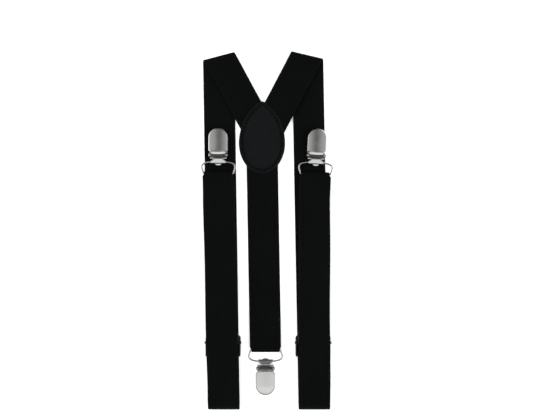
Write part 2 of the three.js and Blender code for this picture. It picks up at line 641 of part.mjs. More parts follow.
// Put the origin under the middle of the object.
const bounds = new THREE.Box3().setFromObject(model);
const middle = bounds.getCenter(new THREE.Vector3());
model.position.set(-middle.x, -middle.y, -bounds.min.z);

export default model;
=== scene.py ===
"""Y-back clip suspenders in 25 mm elastic, folded and laid face up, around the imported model.

Lengths are in millimetres until a mesh is made. The routes of the webbing repeat the part's own driving
dimensions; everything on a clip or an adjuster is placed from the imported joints.
"""
import json
import math

import bmesh
import bpy
import numpy as np
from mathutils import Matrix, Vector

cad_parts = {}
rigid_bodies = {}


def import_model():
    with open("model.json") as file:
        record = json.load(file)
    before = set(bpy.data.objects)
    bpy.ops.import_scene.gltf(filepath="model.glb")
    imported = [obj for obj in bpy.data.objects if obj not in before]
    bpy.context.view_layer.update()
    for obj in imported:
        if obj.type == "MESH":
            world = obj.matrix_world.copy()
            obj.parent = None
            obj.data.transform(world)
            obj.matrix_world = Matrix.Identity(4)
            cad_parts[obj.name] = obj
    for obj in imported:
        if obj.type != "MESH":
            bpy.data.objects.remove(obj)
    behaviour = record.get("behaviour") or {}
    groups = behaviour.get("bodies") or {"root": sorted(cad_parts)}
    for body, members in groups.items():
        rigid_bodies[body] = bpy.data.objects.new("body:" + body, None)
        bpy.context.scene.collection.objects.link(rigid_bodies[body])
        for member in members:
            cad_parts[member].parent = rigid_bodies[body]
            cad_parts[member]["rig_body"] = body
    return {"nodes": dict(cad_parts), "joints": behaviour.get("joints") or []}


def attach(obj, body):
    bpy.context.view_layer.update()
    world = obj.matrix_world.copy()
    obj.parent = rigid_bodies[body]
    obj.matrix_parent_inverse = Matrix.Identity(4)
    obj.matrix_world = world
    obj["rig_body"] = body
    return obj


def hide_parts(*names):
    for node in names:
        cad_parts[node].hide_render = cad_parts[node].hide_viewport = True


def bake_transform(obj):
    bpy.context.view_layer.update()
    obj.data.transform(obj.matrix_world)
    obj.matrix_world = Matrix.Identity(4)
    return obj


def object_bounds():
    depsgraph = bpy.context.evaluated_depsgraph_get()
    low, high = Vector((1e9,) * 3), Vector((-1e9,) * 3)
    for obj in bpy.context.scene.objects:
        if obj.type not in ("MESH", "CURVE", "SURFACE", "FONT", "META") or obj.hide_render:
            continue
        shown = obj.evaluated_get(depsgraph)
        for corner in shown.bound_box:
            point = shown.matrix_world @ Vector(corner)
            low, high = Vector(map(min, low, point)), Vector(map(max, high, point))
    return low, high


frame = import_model()
CAD_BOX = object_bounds()
NODES = frame["nodes"]
JOINTS = {joint["name"]: joint for joint in frame["joints"]}

MM = 0.001

# Webbing
STRAP_WIDTH = 25
STRAP_THICKNESS = 1.2
GAP = 0.3  # clearance between pieces that touch
LAYER = STRAP_THICKNESS + GAP
FLOOR_Z = STRAP_THICKNESS / 2  # middle of a layer that lies on the surface
BAIL_FOLD_WIDTH = 22.4  # webbing gathers where it turns round a bail
GATHER_START = 3
GATHER_LENGTH = 2.6
FACE_GATHER_LATER = 0.8  # the face layer gathers a little nearer to the clip

# Folds of the front straps
BOTTOM_EDGE_Y = -142
BOTTOM_FOLD_RADIUS = 4.65
TOP_FOLD_RADIUS = 1.7
UPPER_RUN_Z = FLOOR_Z + 2 * BOTTOM_FOLD_RADIUS
RUN_DESCENT_START_Y = -50  # the front run drops from here to its bail
UNDER_RUN_LIFT = 1.1  # the under run rises over the adjuster's face plate
LIFT_TOP_Y, LIFTED_TOP_Y = -45, -57  # where it rises, from the top folds down
LIFTED_LOW_Y, LIFT_LOW_Y = -103, -118  # and where it comes down again
LIFT_REACH = 5
LOW_LIFT_REACH = 6
RETURN_END_Y = -129.3  # where the strap's tail begins
CLIP_LEAN_LENGTH = 35  # a leaning clip bends the last stretch of its strap
BRANCH_SETTLE = 38  # the branch reaches the patch's level this far down
BRANCH_LENGTH = 63  # from the top fold to the strap's end in the patch

# The two sides, as in the part: sideways places are measured outwards from its centre line.
SIDES = {
    "left": dict(sign=-1, top_edge=(37.9, 138.9), slant=13.8, back_lean=0.9,
                 bar=(38.1, 45.1), clip_lean=0, patch_z=2.1, sway=0.0),
    "right": dict(sign=1, top_edge=(32.8, 139.8), slant=14.35, back_lean=-1.08,
                  bar=(39.0, 44.6), clip_lean=3, patch_z=3.6, sway=2.1),
}

# Leather patch
PATCH_X, PATCH_Y = -3.4, 69.7
PATCH_HALF_WIDTH = 18.4
PATCH_ARCH_RADIUS = 40.8
PATCH_TIP_RADIUS = 5.2
PATCH_DEPTH = 24.2
PATCH_LEATHER = 1.1
PATCH_SEAM = 2.7  # inset of the stitching
PATCH_OUTLINE_COUNTS = (60, 40, 12, 40)  # points along the bottom, right, tip and left

# Back strap
BACK_X, BACK_BAR_X, BACK_BAR_Y = -3.4, -0.6, -94.6
BACK_TOP_Y = 64
BACK_SEWN_LENGTH = 22

# Clip, about its bail's wire: +Y towards the tip
WIRE_RADIUS = 0.7
BAR_TO_WIRE = 9.5
BAR_FOLD_RADIUS = WIRE_RADIUS + GAP + STRAP_THICKNESS / 2
FRONT_BAR_Z = FLOOR_Z + LAYER + BAR_FOLD_RADIUS
BACK_BAR_Z = FLOOR_Z + BAR_FOLD_RADIUS
PLATE_SHEET = 0.8
PLATE_FLOOR = -2
PLATE_HALF_WIDTH = 7.2
PLATE_TIP_Y = 26.2
PLATE_TIP_CENTRE_Y = PLATE_TIP_Y - PLATE_HALF_WIDTH
NECK_HALF_WIDTH = 5.8
HOOK_RADIUS = 1.4
EAR_INNER, EAR_OUTER, EAR_RADIUS = 6, 6.8, 1.9
PIN_Y, PIN_Z, PIN_RADIUS = 5.4, 1.7, 0.75
PIN_HEAD_RADIUS, PIN_END_X = 1.2, 7.75
RIVET_Y, RIVET_Z = 11, -0.48
COVER_SHEET = 0.7
COVER_HALF_WIDTH = 7.9
COVER_LOW_Y, COVER_TIP_Y = 7.8, 27.1
COVER_CORNER = 2
COVER_SKIRT_Z, COVER_CROWN_Z = 0.6, 4.2
COVER_CENTRE_Y = COVER_TIP_Y - COVER_HALF_WIDTH
COVER_CROWN_SAG = 0.013  # fall of the dome per square millimetre off its axis
COVER_OUTLINE_COUNTS = (40, 10, 8, 16, 8, 10)  # tip, left, corner, base, corner, right
KNUCKLE_HALF_WIDTH = 5.65

# Length adjuster
ADJUSTER_Y = -92
BAR_HIGH = -4.4
ADJUSTER_BAR_THICKNESS = 0.8
TAIL_FOLD_RADIUS = ADJUSTER_BAR_THICKNESS / 2 + GAP + STRAP_THICKNESS / 2
TAIL_SEWN_LENGTH = 13

# From the part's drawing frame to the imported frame
LEFT_BAR = np.array(JOINTS["left_bail_swing"]["pos_m"]) / MM
SHIFT = LEFT_BAR - np.array([-SIDES["left"]["bar"][0], SIDES["left"]["bar"][1], FRONT_BAR_Z])


# ---------- small tools ----------

def ease(t):
    return (1 - np.cos(np.pi * np.clip(t, 0, 1))) / 2


def smooth(low, high, value):
    t = np.clip((value - low) / (high - low), 0, 1)
    return t * t * (3 - 2 * t)


def unit(vectors):
    return vectors / np.linalg.norm(vectors, axis=-1, keepdims=True)


def line(a, b, step=3.0):
    a, b = np.array(a, float), np.array(b, float)
    count = max(1, math.ceil(np.linalg.norm(b - a) / step))
    return [a + (b - a) * i / count for i in range(count + 1)]


def bezier(a, c1, c2, b, count=16):
    a, c1, c2, b = (np.array(p, float) for p in (a, c1, c2, b))
    ts = np.linspace(0, 1, count + 1)
    return [a * (1 - t) ** 3 + 3 * c1 * t * (1 - t) ** 2 + 3 * c2 * t * t * (1 - t) + b * t ** 3 for t in ts]


def quadratic(a, c, b, count):
    a, c, b = (np.array(p, float) for p in (a, c, b))
    return [a * (1 - t) ** 2 + 2 * c * t * (1 - t) + b * t * t for t in np.linspace(0, 1, count + 1)]


def ramp(start, end, reach, count=16):
    """A smooth change of level. It leaves the start and meets the end level, with handles of one reach."""
    step = math.copysign(reach, end[0] - start[0])
    return bezier(start, (start[0] + step, start[1]), (end[0] - step, end[1]), end, count)


def arc(centre, radius, start, end, count=12):
    """Points round a centre; start and end are in turns."""
    angles = np.linspace(start, end, count + 1) * 2 * np.pi
    return [np.array([centre[0] + radius * math.cos(a), centre[1] + radius * math.sin(a)]) for a in angles]


def join(*parts):
    """One line of points from several, without doubled ones."""
    points = []
    for part in parts:
        for point in part:
            if not points or np.linalg.norm(point - points[-1]) > 1e-4:
                points.append(point)
    return np.array(points)


def circle(count):
    """Angles all the way round."""
    return np.linspace(0, 2 * np.pi, count + 1)[:-1]


def columns(*values):
    """Points from their coordinates, each an array or one number."""
    return np.stack(np.broadcast_arrays(*values), axis=-1)


def level_ring(ring, z):
    return columns(ring[:, 0], ring[:, 1], z)


def travelled(points):
    """How far along a line each of its points is."""
    return np.concatenate([[0], np.cumsum(np.linalg.norm(np.diff(points, axis=0), axis=1))])


def directions(points):
    ahead = np.vstack([points[1:], points[-1:]])
    behind = np.vstack([points[:1], points[:-1]])
    return unit(ahead - behind)


# ---------- meshes ----------

def loft(rings, closed=False):
    """Vertices and faces of a skin through rings of equally many points, capped unless it is closed."""
    rings = np.asarray(rings, float)
    rows, count = rings.shape[:2]
    faces = []
    for i in range(rows if closed else rows - 1):
        a, b = i * count, (i + 1) % rows * count
        for k in range(count):
            n = (k + 1) % count
            faces.append((a + k, a + n, b + n, b + k))
    if not closed:
        faces.append(tuple(range(count)))
        faces.append(tuple(reversed(range((rows - 1) * count, rows * count))))
    return rings.reshape(-1, 3), faces


def tube_rings(middles, sides, ups, radii, count):
    """Circles round points, each in the plane of its own side and up."""
    angles = circle(count)
    return [
        middle + radius * (np.outer(np.cos(angles), side) + np.outer(np.sin(angles), up))
        for middle, side, up, radius in zip(middles, sides, ups, radii)
    ]


def combine(*parts):
    vertices, faces = [], []
    for part_vertices, part_faces in parts:
        offset = sum(len(v) for v in vertices)
        vertices.append(np.asarray(part_vertices, float))
        faces += [tuple(i + offset for i in face) for face in part_faces]
    return np.vstack(vertices), faces


def add_object(name, data):
    obj = bpy.data.objects.new(name, data)
    bpy.context.scene.collection.objects.link(obj)
    return obj


def finish_piece(obj, material, body, node, sharp_degrees):
    """Clean normals, a material, and the body and CAD node that a piece goes with."""
    work = bmesh.new()
    work.from_mesh(obj.data)
    bmesh.ops.recalc_face_normals(work, faces=work.faces)
    work.to_mesh(obj.data)
    work.free()
    obj.data.shade_smooth()
    obj.data.set_sharp_from_angle(angle=math.radians(sharp_degrees))
    obj.data.materials.clear()
    obj.data.materials.append(material)
    if body:
        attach(obj, body)
    if node:
        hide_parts(node)
    return obj


def make_piece(name, shape, material, body, node=None, weave=None, sharp_degrees=38):
    """A piece from (vertices, faces) in millimetres, which replaces a CAD node. weave is a UV map: on webbing
    the place across and along, on leather the inset from the patch's edge.
    """
    vertices, faces = shape
    mesh = bpy.data.meshes.new(name)
    mesh.from_pydata([tuple(v) for v in np.asarray(vertices) * MM], [], faces)
    if weave is not None:
        layer = mesh.uv_layers.new(name="weave")
        corners = np.array([loop.vertex_index for loop in mesh.loops])
        layer.data.foreach_set("uv", np.asarray(weave, float)[corners].astype(np.float32).ravel())
    return finish_piece(add_object(name, mesh), material, body, node, sharp_degrees)


def bevelled_node(name, node, material, width):
    """A copy of a CAD node with its flat faces made whole and its edges rounded."""
    source = NODES[node]
    obj = add_object(name, source.data.copy())
    work = bmesh.new()
    work.from_mesh(obj.data)
    bmesh.ops.remove_doubles(work, verts=work.verts, dist=2e-6)
    bmesh.ops.dissolve_limit(work, angle_limit=math.radians(1), verts=work.verts, edges=work.edges)
    sharp = [e for e in work.edges if len(e.link_faces) == 2 and e.calc_face_angle() > math.radians(32)]
    bmesh.ops.bevel(
        work, geom=sharp, offset=width * MM, segments=2, profile=0.5, affect="EDGES", clamp_overlap=True,
    )
    work.to_mesh(obj.data)
    work.free()
    return finish_piece(obj, material, source["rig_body"], node, 50)


# ---------- materials ----------

class Nodes:
    """The nodes of a material or a world. Inputs are values or other nodes' outputs."""

    def __init__(self, owner):
        owner.use_nodes = True
        self.tree = owner.node_tree

    def add(self, kind, inputs=None, **settings):
        node = self.tree.nodes.new("ShaderNode" + kind)
        for key, value in settings.items():
            setattr(node, key, value)
        self.feed(node, inputs or {})
        return node

    def feed(self, node, inputs):
        for key, value in inputs.items():
            if isinstance(value, bpy.types.NodeSocket):
                self.tree.links.new(value, node.inputs[key])
            else:
                node.inputs[key].default_value = value

    def math(self, operation, a, b=0.0):
        return self.add("Math", {0: a, 1: b}, operation=operation).outputs[0]

    def mix(self, factor, low, high):
        return self.add("Mix", {0: factor, 2: low, 3: high}).outputs[0]

    def span(self, value, low, high, to_low, to_high, **settings):
        inputs = {"Value": value, "From Min": low, "From Max": high, "To Min": to_low, "To Max": to_high}
        return self.add("MapRange", inputs, **settings).outputs[0]


class Shader(Nodes):
    """A material, about its Principled surface."""

    def __init__(self, name):
        self.material = bpy.data.materials.new(name)
        super().__init__(self.material)
        self.surface = self.tree.nodes["Principled BSDF"]

    def noise(self, scale, detail, stretch=(1, 1, 1)):
        place = self.add("TexCoord").outputs["Object"]
        if stretch != (1, 1, 1):
            place = self.add("Mapping", {"Vector": place, "Scale": stretch}).outputs[0]
        node = self.add("TexNoise", {"Vector": place, "Scale": scale, "Detail": detail, "Roughness": 0.55})
        return node.outputs["Fac"]

    def blend(self, factor, low, high):
        """A colour between two, each of them a value or a node's output."""
        node = self.add("Mix", {"Factor": factor}, data_type="RGBA")
        colours = [s for s in node.inputs if s.type == "RGBA"]
        for socket, value in zip(colours, (low, high)):
            if isinstance(value, bpy.types.NodeSocket):
                self.tree.links.new(value, socket)
            else:
                socket.default_value = (*value, 1)
        return node.outputs["Result"]

    def bump(self, height, distance, strength):
        return self.add("Bump", {"Height": height, "Distance": distance, "Strength": strength}).outputs[0]

    def set(self, **inputs):
        self.feed(self.surface, {key.replace("_", " "): value for key, value in inputs.items()})
        return self.material


def webbing_material():
    """Ribbed elastic: lengthwise cords, cross picks that alternate from cord to cord, and flat selvedges,
    with painted shade in the valleys of the weave.
    """
    s = Shader("webbing")
    parts = s.add("SeparateXYZ", {0: s.add("UVMap", uv_map="weave").outputs[0]})
    across, along = parts.outputs[0], parts.outputs[1]
    cord_pitch, pick_pitch = 1.25, 0.9
    selvedge_from, selvedge_to = 10.8, 11.3
    cord = s.math("DIVIDE", across, cord_pitch)
    odd = s.math("MODULO", s.math("FLOOR", s.math("ADD", cord, 100.0)), 2.0)
    cord_height = s.math("ABSOLUTE", s.math("SINE", s.math("MULTIPLY", cord, math.pi)))
    pick = s.math("ADD", s.math("DIVIDE", along, pick_pitch), s.math("MULTIPLY", odd, 0.5))
    pick_height = s.math("ABSOLUTE", s.math("SINE", s.math("MULTIPLY", pick, math.pi)))
    edge = s.span(s.math("ABSOLUTE", across), selvedge_from, selvedge_to, 0.0, 1.0)
    fibre = s.noise(2600, 2)
    weave = s.math("MULTIPLY", s.math("POWER", cord_height, 0.6), s.span(pick_height, 0, 1, 0.55, 1.0))
    woven = s.mix(edge, weave, s.span(pick_height, 0, 1, 0.5, 0.8))
    height = s.math("ADD", woven, s.math("MULTIPLY", fibre, 0.35))
    fade = s.noise(28, 3)
    # Painted shade: the colour darkens with the weave's relief and is darkest in its valleys. The fade noise
    # adds random tone.
    tone_and_painted_shade = s.math("MULTIPLY", s.span(height, 0.2, 1.3, 0.25, 1.0), s.span(fade, 0.3, 0.7, 0.82, 1.12))
    colour = s.blend(tone_and_painted_shade, (0.0006, 0.0008, 0.0007), (0.0028, 0.0035, 0.0032))
    return s.set(
        Base_Color=colour, Roughness=s.span(fibre, 0.3, 0.7, 0.62, 0.85), Specular_IOR_Level=0.055,
        Normal=s.bump(height, 0.00026, 1.0),
    )


def leather_material():
    """Fine-grained black leather, with painted shade that darkens the rim outside the seam and the grain's
    creases, and a paler cut edge.
    """
    s = Shader("leather")
    place = s.add("TexCoord").outputs["Object"]
    warp = s.add("TexNoise", {"Vector": place, "Scale": 420, "Detail": 2})
    shift = s.add("VectorMath", {0: warp.outputs["Color"], "Scale": 0.0007}, operation="SCALE").outputs[0]
    moved = s.add("VectorMath", {0: place, 1: shift}, operation="ADD").outputs[0]
    cells = s.add("TexVoronoi", {"Vector": moved, "Scale": 1900}, feature="DISTANCE_TO_EDGE")
    crease = s.span(cells.outputs["Distance"], 0.0, 0.22, 0.0, 1.0)
    fine = s.noise(3200, 2)
    height = s.math("ADD", crease, s.math("MULTIPLY", fine, 0.3))
    worn = s.noise(60, 4)
    inset = s.add("SeparateXYZ", {0: s.add("UVMap", uv_map="weave").outputs[0]}).outputs[0]
    # Painted shade: outside the seam the colour falls to 0.34 of the field's, and the grain's creases
    # (crease) are darker. The worn noise adds random tone.
    raised = s.span(inset, PATCH_SEAM - 0.3, PATCH_SEAM + 0.8, 0.34, 1.0)
    tone_and_painted_shade = s.math("MULTIPLY", s.math("MULTIPLY", crease, raised), s.span(worn, 0.35, 0.7, 0.7, 1.0))
    face = s.blend(tone_and_painted_shade, (0.0008, 0.0010, 0.0010), (0.0050, 0.0056, 0.0066))
    cut_edge = s.span(inset, 0.1, 0.5, 1.0, 0.0)
    return s.set(
        Base_Color=s.blend(cut_edge, face, (0.0095, 0.0105, 0.0100)),
        Roughness=s.span(worn, 0.3, 0.7, 0.42, 0.56), Specular_IOR_Level=0.15,
        Normal=s.bump(height, 0.00009, 0.8),
    )


def metal_material(name, light, dark, rough_low, rough_high, brushed=0.0):
    s = Shader(name)
    smudge = s.noise(130, 4)
    scratch = s.noise(900, 3, stretch=(1, 0.06, 1))
    pits = s.noise(5200, 1)
    height = s.math("ADD", s.math("MULTIPLY", scratch, 0.5 + brushed), s.math("MULTIPLY", pits, 0.3))
    return s.set(
        Base_Color=s.blend(s.span(smudge, 0.3, 0.72, 0.0, 1.0), dark, light), Metallic=1.0,
        Roughness=s.math("ADD", s.span(smudge, 0.3, 0.7, rough_low, rough_high),
                         s.math("MULTIPLY", scratch, 0.05 + 0.1 * brushed)),
        Normal=s.bump(height, 0.000012, 0.35 + brushed),
    )


def enamel_material():
    """Black enamel over pressed steel: orange-peel surface, with a few dull rubbed places."""
    s = Shader("black_enamel")
    peel = s.noise(1400, 2)
    rub = s.noise(260, 5)
    return s.set(
        Base_Color=s.blend(s.span(rub, 0.55, 0.72, 0.0, 1.0), (0.006, 0.0062, 0.0066), (0.016, 0.016, 0.017)),
        Roughness=s.span(rub, 0.4, 0.7, 0.28, 0.5), Specular_IOR_Level=0.4, Normal=s.bump(peel, 0.00004, 0.4),
    )


def plastic_material():
    s = Shader("grip_plastic")
    speck = s.noise(900, 3)
    wide = s.noise(90, 3)
    return s.set(
        Base_Color=s.blend(wide, (0.60, 0.585, 0.54), (0.72, 0.71, 0.67)),
        Roughness=s.span(speck, 0.3, 0.7, 0.4, 0.55), Normal=s.bump(speck, 0.00003, 0.5),
    )


def thread_material():
    """Twisted black thread."""
    s = Shader("thread")
    twist = s.noise(2400, 2, stretch=(1, 1, 0.4))
    return s.set(
        Base_Color=s.blend(twist, (0.0003, 0.0003, 0.0003), (0.0014, 0.0015, 0.0016)), Roughness=0.7,
        Specular_IOR_Level=0.05, Normal=s.bump(twist, 0.00012, 0.9),
    )


def table_material():
    s = Shader("table")
    grain = s.noise(240, 4)
    return s.set(
        Base_Color=s.blend(s.noise(3, 2), (0.86, 0.86, 0.86), (0.9, 0.9, 0.9)),
        Roughness=s.span(grain, 0.3, 0.7, 0.6, 0.75), Normal=s.bump(grain, 0.00004, 0.3),
        Emission_Color=(1, 1, 1, 1), Emission_Strength=0.3,
    )


def screen_material():
    """An evenly lit pale paper screen."""
    s = Shader("screen")
    return s.set(Base_Color=(0, 0, 0, 1), Roughness=1.0, Emission_Color=(1, 1, 1, 1), Emission_Strength=1.0)


WEBBING = webbing_material()
LEATHER = leather_material()
NICKEL = metal_material("nickel", (0.70, 0.695, 0.68), (0.64, 0.635, 0.62), 0.10, 0.17)
SPRING_STEEL = metal_material("spring_steel", (0.5, 0.51, 0.53), (0.36, 0.37, 0.39), 0.28, 0.42, brushed=0.6)
ENAMEL = enamel_material()
PLASTIC = plastic_material()
THREAD = thread_material()


# ---------- webbing ----------

def webbing_section():
    """The closed outline of the webbing, as (across, out of the face), with a corded selvedge each side."""
    radius = STRAP_THICKNESS / 2
    flat = STRAP_WIDTH / 2 - radius
    inner = list(np.linspace(-10, 10, 11))
    selvedge = [flat, 11.5, 11.0, 10.5]
    across = [-u for u in selvedge] + inner + selvedge[::-1]
    relief = {11.5: 0.04, 11.0: 0.05, 10.5: -0.09}
    top = [(u, radius + relief.get(round(abs(u), 1), 0)) for u in across]
    round_edge = np.radians([30, 60, 90, 120, 150])
    side = [(flat + radius * math.sin(a), radius * math.cos(a)) for a in round_edge]
    bottom = [(u, -t) for u, t in reversed(top)]
    return np.array(top + side + bottom + [(-u, -t) for u, t in side])


def webbing_piece(name, middles, halves, alongs, body, node):
    """A strap through stations, and its length. Each half reaches from the middle to the edge."""
    across, out = webbing_section().T
    normals = unit(np.cross(halves, alongs))
    share = across / (STRAP_WIDTH / 2)
    rings = middles[:, None] + share[None, :, None] * halves[:, None] + out[None, :, None] * normals[:, None]
    distance = travelled(middles)
    skew = np.einsum("ij,ij->i", halves, unit(alongs))
    along = distance[:, None] + share * skew[:, None]
    weave = columns(across, along).reshape(-1, 2)
    obj = make_piece(name, loft(rings + SHIFT), WEBBING, body, node, weave)
    return obj, distance[-1]


def top_fold(side):
    """The slanted fold: its start, its length round, the half line across it and a place per distance."""
    slant = math.radians(side["slant"])
    slope = slant + math.radians(side["back_lean"])
    turn = math.pi * TOP_FOLD_RADIUS
    across = np.array([-math.cos(slope), math.sin(slope)])
    over = np.array([math.sin(slope), math.cos(slope)])
    start = (
        np.array(side["top_edge"]) - over * (TOP_FOLD_RADIUS + STRAP_THICKNESS / 2)
        - across * math.tan(slant) * turn / 2
    )
    sign = side["sign"]
    half = np.array([sign * across[0], across[1], 0]) * (-sign * STRAP_WIDTH / 2 / math.cos(slant))

    def at(distance):
        angle = np.clip(distance / TOP_FOLD_RADIUS, 0, np.pi)
        down = np.maximum(distance - turn, 0)
        reach = np.minimum(distance, 0) + TOP_FOLD_RADIUS * np.sin(angle) - down
        plan = start + across * (math.tan(slant) * distance)[:, None] + over * reach[:, None]
        settle = side["patch_z"] - (FLOOR_Z + 2 * TOP_FOLD_RADIUS)
        z = FLOOR_Z + TOP_FOLD_RADIUS * (1 - np.cos(angle)) + settle * ease(down / BRANCH_SETTLE)
        return columns(sign * plan[:, 0], plan[:, 1], z)

    return start, turn, half, at


def run_centres(side):
    """Outward places of the under run and the front run, and the front run's heading, by height y."""
    start = top_fold(side)[0]
    lean = math.tan(math.radians(side["back_lean"]))
    bar_x, bar_y = side["bar"]
    bottom = start[0] - lean * (start[1] - BOTTOM_EDGE_Y)
    clip_lean = math.tan(math.radians(side["clip_lean"]))
    front_lean = (bar_x - clip_lean * CLIP_LEAN_LENGTH / 2 - bottom) / (bar_y - BOTTOM_EDGE_Y)

    def bend(y):
        return np.maximum(y - bar_y + CLIP_LEAN_LENGTH, 0)

    def under(y):
        return bottom + lean * (y - BOTTOM_EDGE_Y)

    def front(y):
        return bottom + front_lean * (y - BOTTOM_EDGE_Y) + clip_lean * bend(y) ** 2 / (2 * CLIP_LEAN_LENGTH)

    def heading(y):
        return clip_lean * np.minimum(bend(y), CLIP_LEAN_LENGTH) / CLIP_LEAN_LENGTH

    return under, front, heading


def width_at(reach):
    """Webbing gathers where it turns round a bail. Reach is how far a place is past the bar, to the clip."""
    return STRAP_WIDTH + (BAIL_FOLD_WIDTH - STRAP_WIDTH) * ease((reach + GATHER_START) / GATHER_LENGTH)


def sway(y, phase):
    """The slight wander of soft webbing, none of it near the folds and the bail."""
    reach, wave = 0.22, 17
    hold = smooth(-136, -120, y) * smooth(34, 20, y)
    return reach * np.sin(y / wave + phase) * hold


def front_strap(name, side):
    _, turn, half, at = top_fold(side)
    under, front, heading = run_centres(side)
    sign = side["sign"]
    bar_y = side["bar"][1]

    distances = np.concatenate([
        np.arange(turn + BRANCH_LENGTH, turn + 0.5, -1.5), np.linspace(turn, 0, 17), [-1.5, -3, -4.5, -6],
    ])
    branch = at(distances)
    branch_along = unit(at(distances - 0.05) - at(distances + 0.05))

    fold_y = BOTTOM_EDGE_Y + BOTTOM_FOLD_RADIUS + STRAP_THICKNESS / 2
    fold = (fold_y, FLOOR_Z + BOTTOM_FOLD_RADIUS)
    lifted = FLOOR_Z + UNDER_RUN_LIFT
    return_z = UPPER_RUN_Z - LAYER
    outer_z, inner_z = FRONT_BAR_Z + BAR_FOLD_RADIUS, FRONT_BAR_Z - BAR_FOLD_RADIUS
    level_y = bar_y - GATHER_START - 1
    descent_reach = (level_y - RUN_DESCENT_START_Y) / 2
    under_path = join(
        line((bar_y + 50, FLOOR_Z), (LIFT_TOP_Y, FLOOR_Z)),
        ramp((LIFT_TOP_Y, FLOOR_Z), (LIFTED_TOP_Y, lifted), LIFT_REACH, 8),
        line((LIFTED_TOP_Y, lifted), (LIFTED_LOW_Y, lifted)),
        ramp((LIFTED_LOW_Y, lifted), (LIFT_LOW_Y, FLOOR_Z), LOW_LIFT_REACH, 8),
        line((LIFT_LOW_Y, FLOOR_Z), (fold_y, FLOOR_Z)),
        arc(fold, BOTTOM_FOLD_RADIUS, 0.75, 0.5),
    )
    front_path = join(
        arc(fold, BOTTOM_FOLD_RADIUS, 0.5, 0.25)[1:],
        line((fold_y, UPPER_RUN_Z), (RUN_DESCENT_START_Y, UPPER_RUN_Z)),
        ramp((RUN_DESCENT_START_Y, UPPER_RUN_Z), (level_y, outer_z), descent_reach, 40),
        line((level_y, outer_z), (bar_y, outer_z), 0.4),
        arc((bar_y, FRONT_BAR_Z), BAR_FOLD_RADIUS, 0.25, -0.25, 16),
        line((bar_y, inner_z), (level_y, inner_z), 0.4),
        ramp((level_y, inner_z), (RUN_DESCENT_START_Y, return_z), descent_reach, 40),
        line((RUN_DESCENT_START_Y, return_z), (fold_y, return_z)),
        arc(fold, BOTTOM_FOLD_RADIUS - LAYER, 0.25, 0.5),
    )
    end_path = join(
        arc(fold, BOTTOM_FOLD_RADIUS - LAYER, 0.5, 0.75)[1:],
        line((fold_y, FLOOR_Z + LAYER), (RETURN_END_Y, FLOOR_Z + LAYER)),
    )
    path = np.vstack([under_path, front_path, end_path])
    along = directions(path)
    y = path[:, 0]
    past_under = np.arange(len(path)) - len(under_path)
    on_front = (past_under >= 0) & (past_under < len(front_path))
    outward = np.where(on_front, front(y) + sway(y, side["sway"]), under(y))
    lean = np.where(on_front, heading(y), 0)
    on_top = on_front & (path[:, 1] > FRONT_BAR_Z)
    width = np.where(past_under >= 0, width_at(y - bar_y - FACE_GATHER_LATER * on_top), STRAP_WIDTH)
    loop = columns(sign * outward, y, path[:, 1])
    loop_half = unit(columns(1.0, -sign * lean, 0)) * (width / 2)[:, None]
    loop_along = unit(columns(sign * lean * along[:, 0], along[:, 0], along[:, 1]))
    return webbing_piece(
        f"{name}_front_webbing",
        np.vstack([branch, loop]),
        np.vstack([np.tile(half, (len(branch), 1)), loop_half]),
        np.vstack([branch_along, loop_along]),
        "root", f"{name}_front_strap",
    )


def strap_tail(name, side):
    """The strap's end, sewn round the adjuster's bar."""
    under = run_centres(side)[0]
    low_z = FLOOR_Z + LAYER
    lifted = low_z + UNDER_RUN_LIFT
    wrap_y = ADJUSTER_Y + BAR_HIGH - ADJUSTER_BAR_THICKNESS / 2
    over_z = lifted + 2 * TAIL_FOLD_RADIUS
    path = join(
        line((RETURN_END_Y + 0.02, low_z), (LIFT_LOW_Y, low_z)),
        ramp((LIFT_LOW_Y, low_z), (LIFTED_LOW_Y, lifted), LOW_LIFT_REACH),
        line((LIFTED_LOW_Y, lifted), (wrap_y, lifted)),
        arc((wrap_y, lifted + TAIL_FOLD_RADIUS), TAIL_FOLD_RADIUS, -0.25, 0.25),
        line((wrap_y, over_z), (wrap_y - TAIL_SEWN_LENGTH, over_z), 1.5),
    )
    along = directions(path)
    y = path[:, 0]
    middles = columns(side["sign"] * under(y), y, path[:, 1])
    halves = np.tile([STRAP_WIDTH / 2 - GAP, 0, 0], (len(y), 1))
    alongs = columns(0, along[:, 0], along[:, 1])
    obj, length = webbing_piece(f"{name}_tail_webbing", middles, halves, alongs, None, f"{name}_strap_tail")
    x = side["sign"] * under(RETURN_END_Y)
    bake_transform(obj)
    return obj, length, middles[-1]


